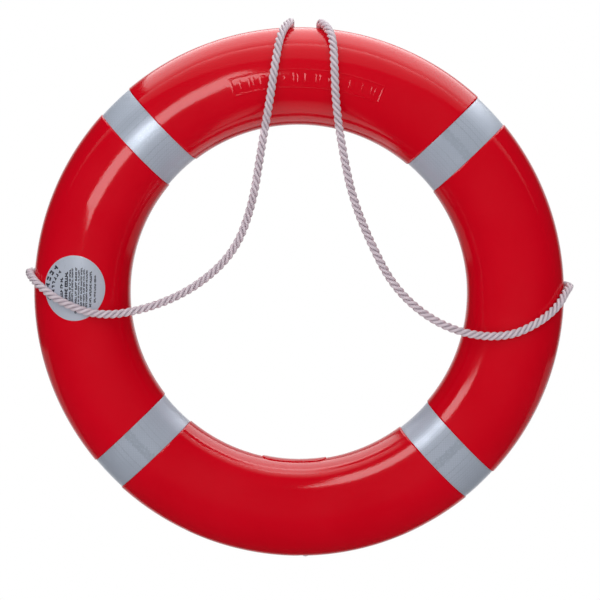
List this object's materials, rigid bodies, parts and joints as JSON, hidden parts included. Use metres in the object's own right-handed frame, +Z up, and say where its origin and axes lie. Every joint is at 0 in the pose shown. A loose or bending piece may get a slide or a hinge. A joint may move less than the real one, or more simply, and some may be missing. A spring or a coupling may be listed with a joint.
{
  "type": "ring lifebuoy",
  "caption": "Rigid ring lifebuoy of oval section with wrapped reflective bands and a twisted grab line threaded through moulded rope eyes.",
  "frame": {"origin": "centre of the ring, on its axis and at the seam between the two shells", "axes": "+Y along the ring's axis towards the rear, so the front face looks towards -Y; +Z up, through the top rope eye, as the ring hangs on its hook; +X to the right seen from the front"},
  "size_m": [0.7428, 0.1229, 0.7359],
  "materials": {
    "red_shell": "glossy moulded polyethylene, signal red",
    "foam": "closed-cell polyurethane foam, inside and unseen",
    "reflective_tape": "silver-grey retro-reflective tape",
    "sticker": "silvery printed film",
    "rope": "white three-strand twisted polypropylene",
    "whipping": "white bound twine"
  },
  "bodies": {
    "ring": {"front_shell": "red_shell", "rear_shell": "red_shell", "foam_core": "foam", "tape_upper_right": "reflective_tape", "tape_upper_left": "reflective_tape", "tape_lower_left": "reflective_tape", "tape_lower_right": "reflective_tape", "approval_sticker": "sticker", "filler_cap": "red_shell", "top_eye_rope": "rope", "left_eye_rope": "rope", "bottom_eye_rope": "rope", "right_eye_rope": "rope", "lower_left_span": "rope", "lower_right_span": "rope", "end_whipping": "whipping"},
    "left_rope": {"upper_left_loop": "rope"},
    "right_rope": {"upper_right_loop": "rope"}
  },
  "joints": [
    {"name": "left_rope_swing", "type": "hinge", "parent": "ring", "child": "left_rope", "pos_m": [-0.0195, -0.0085, 0.3657], "axis": [-0.7066, 0, -0.7076], "range_deg": [0, 150], "deforming": ["top_eye_rope", "left_eye_rope"]},
    {"name": "right_rope_swing", "type": "hinge", "parent": "ring", "child": "right_rope", "pos_m": [0.022, -0.0085, 0.3657], "axis": [-0.704, 0, 0.7102], "range_deg": [0, 150], "deforming": ["right_eye_rope"]}
  ]
}
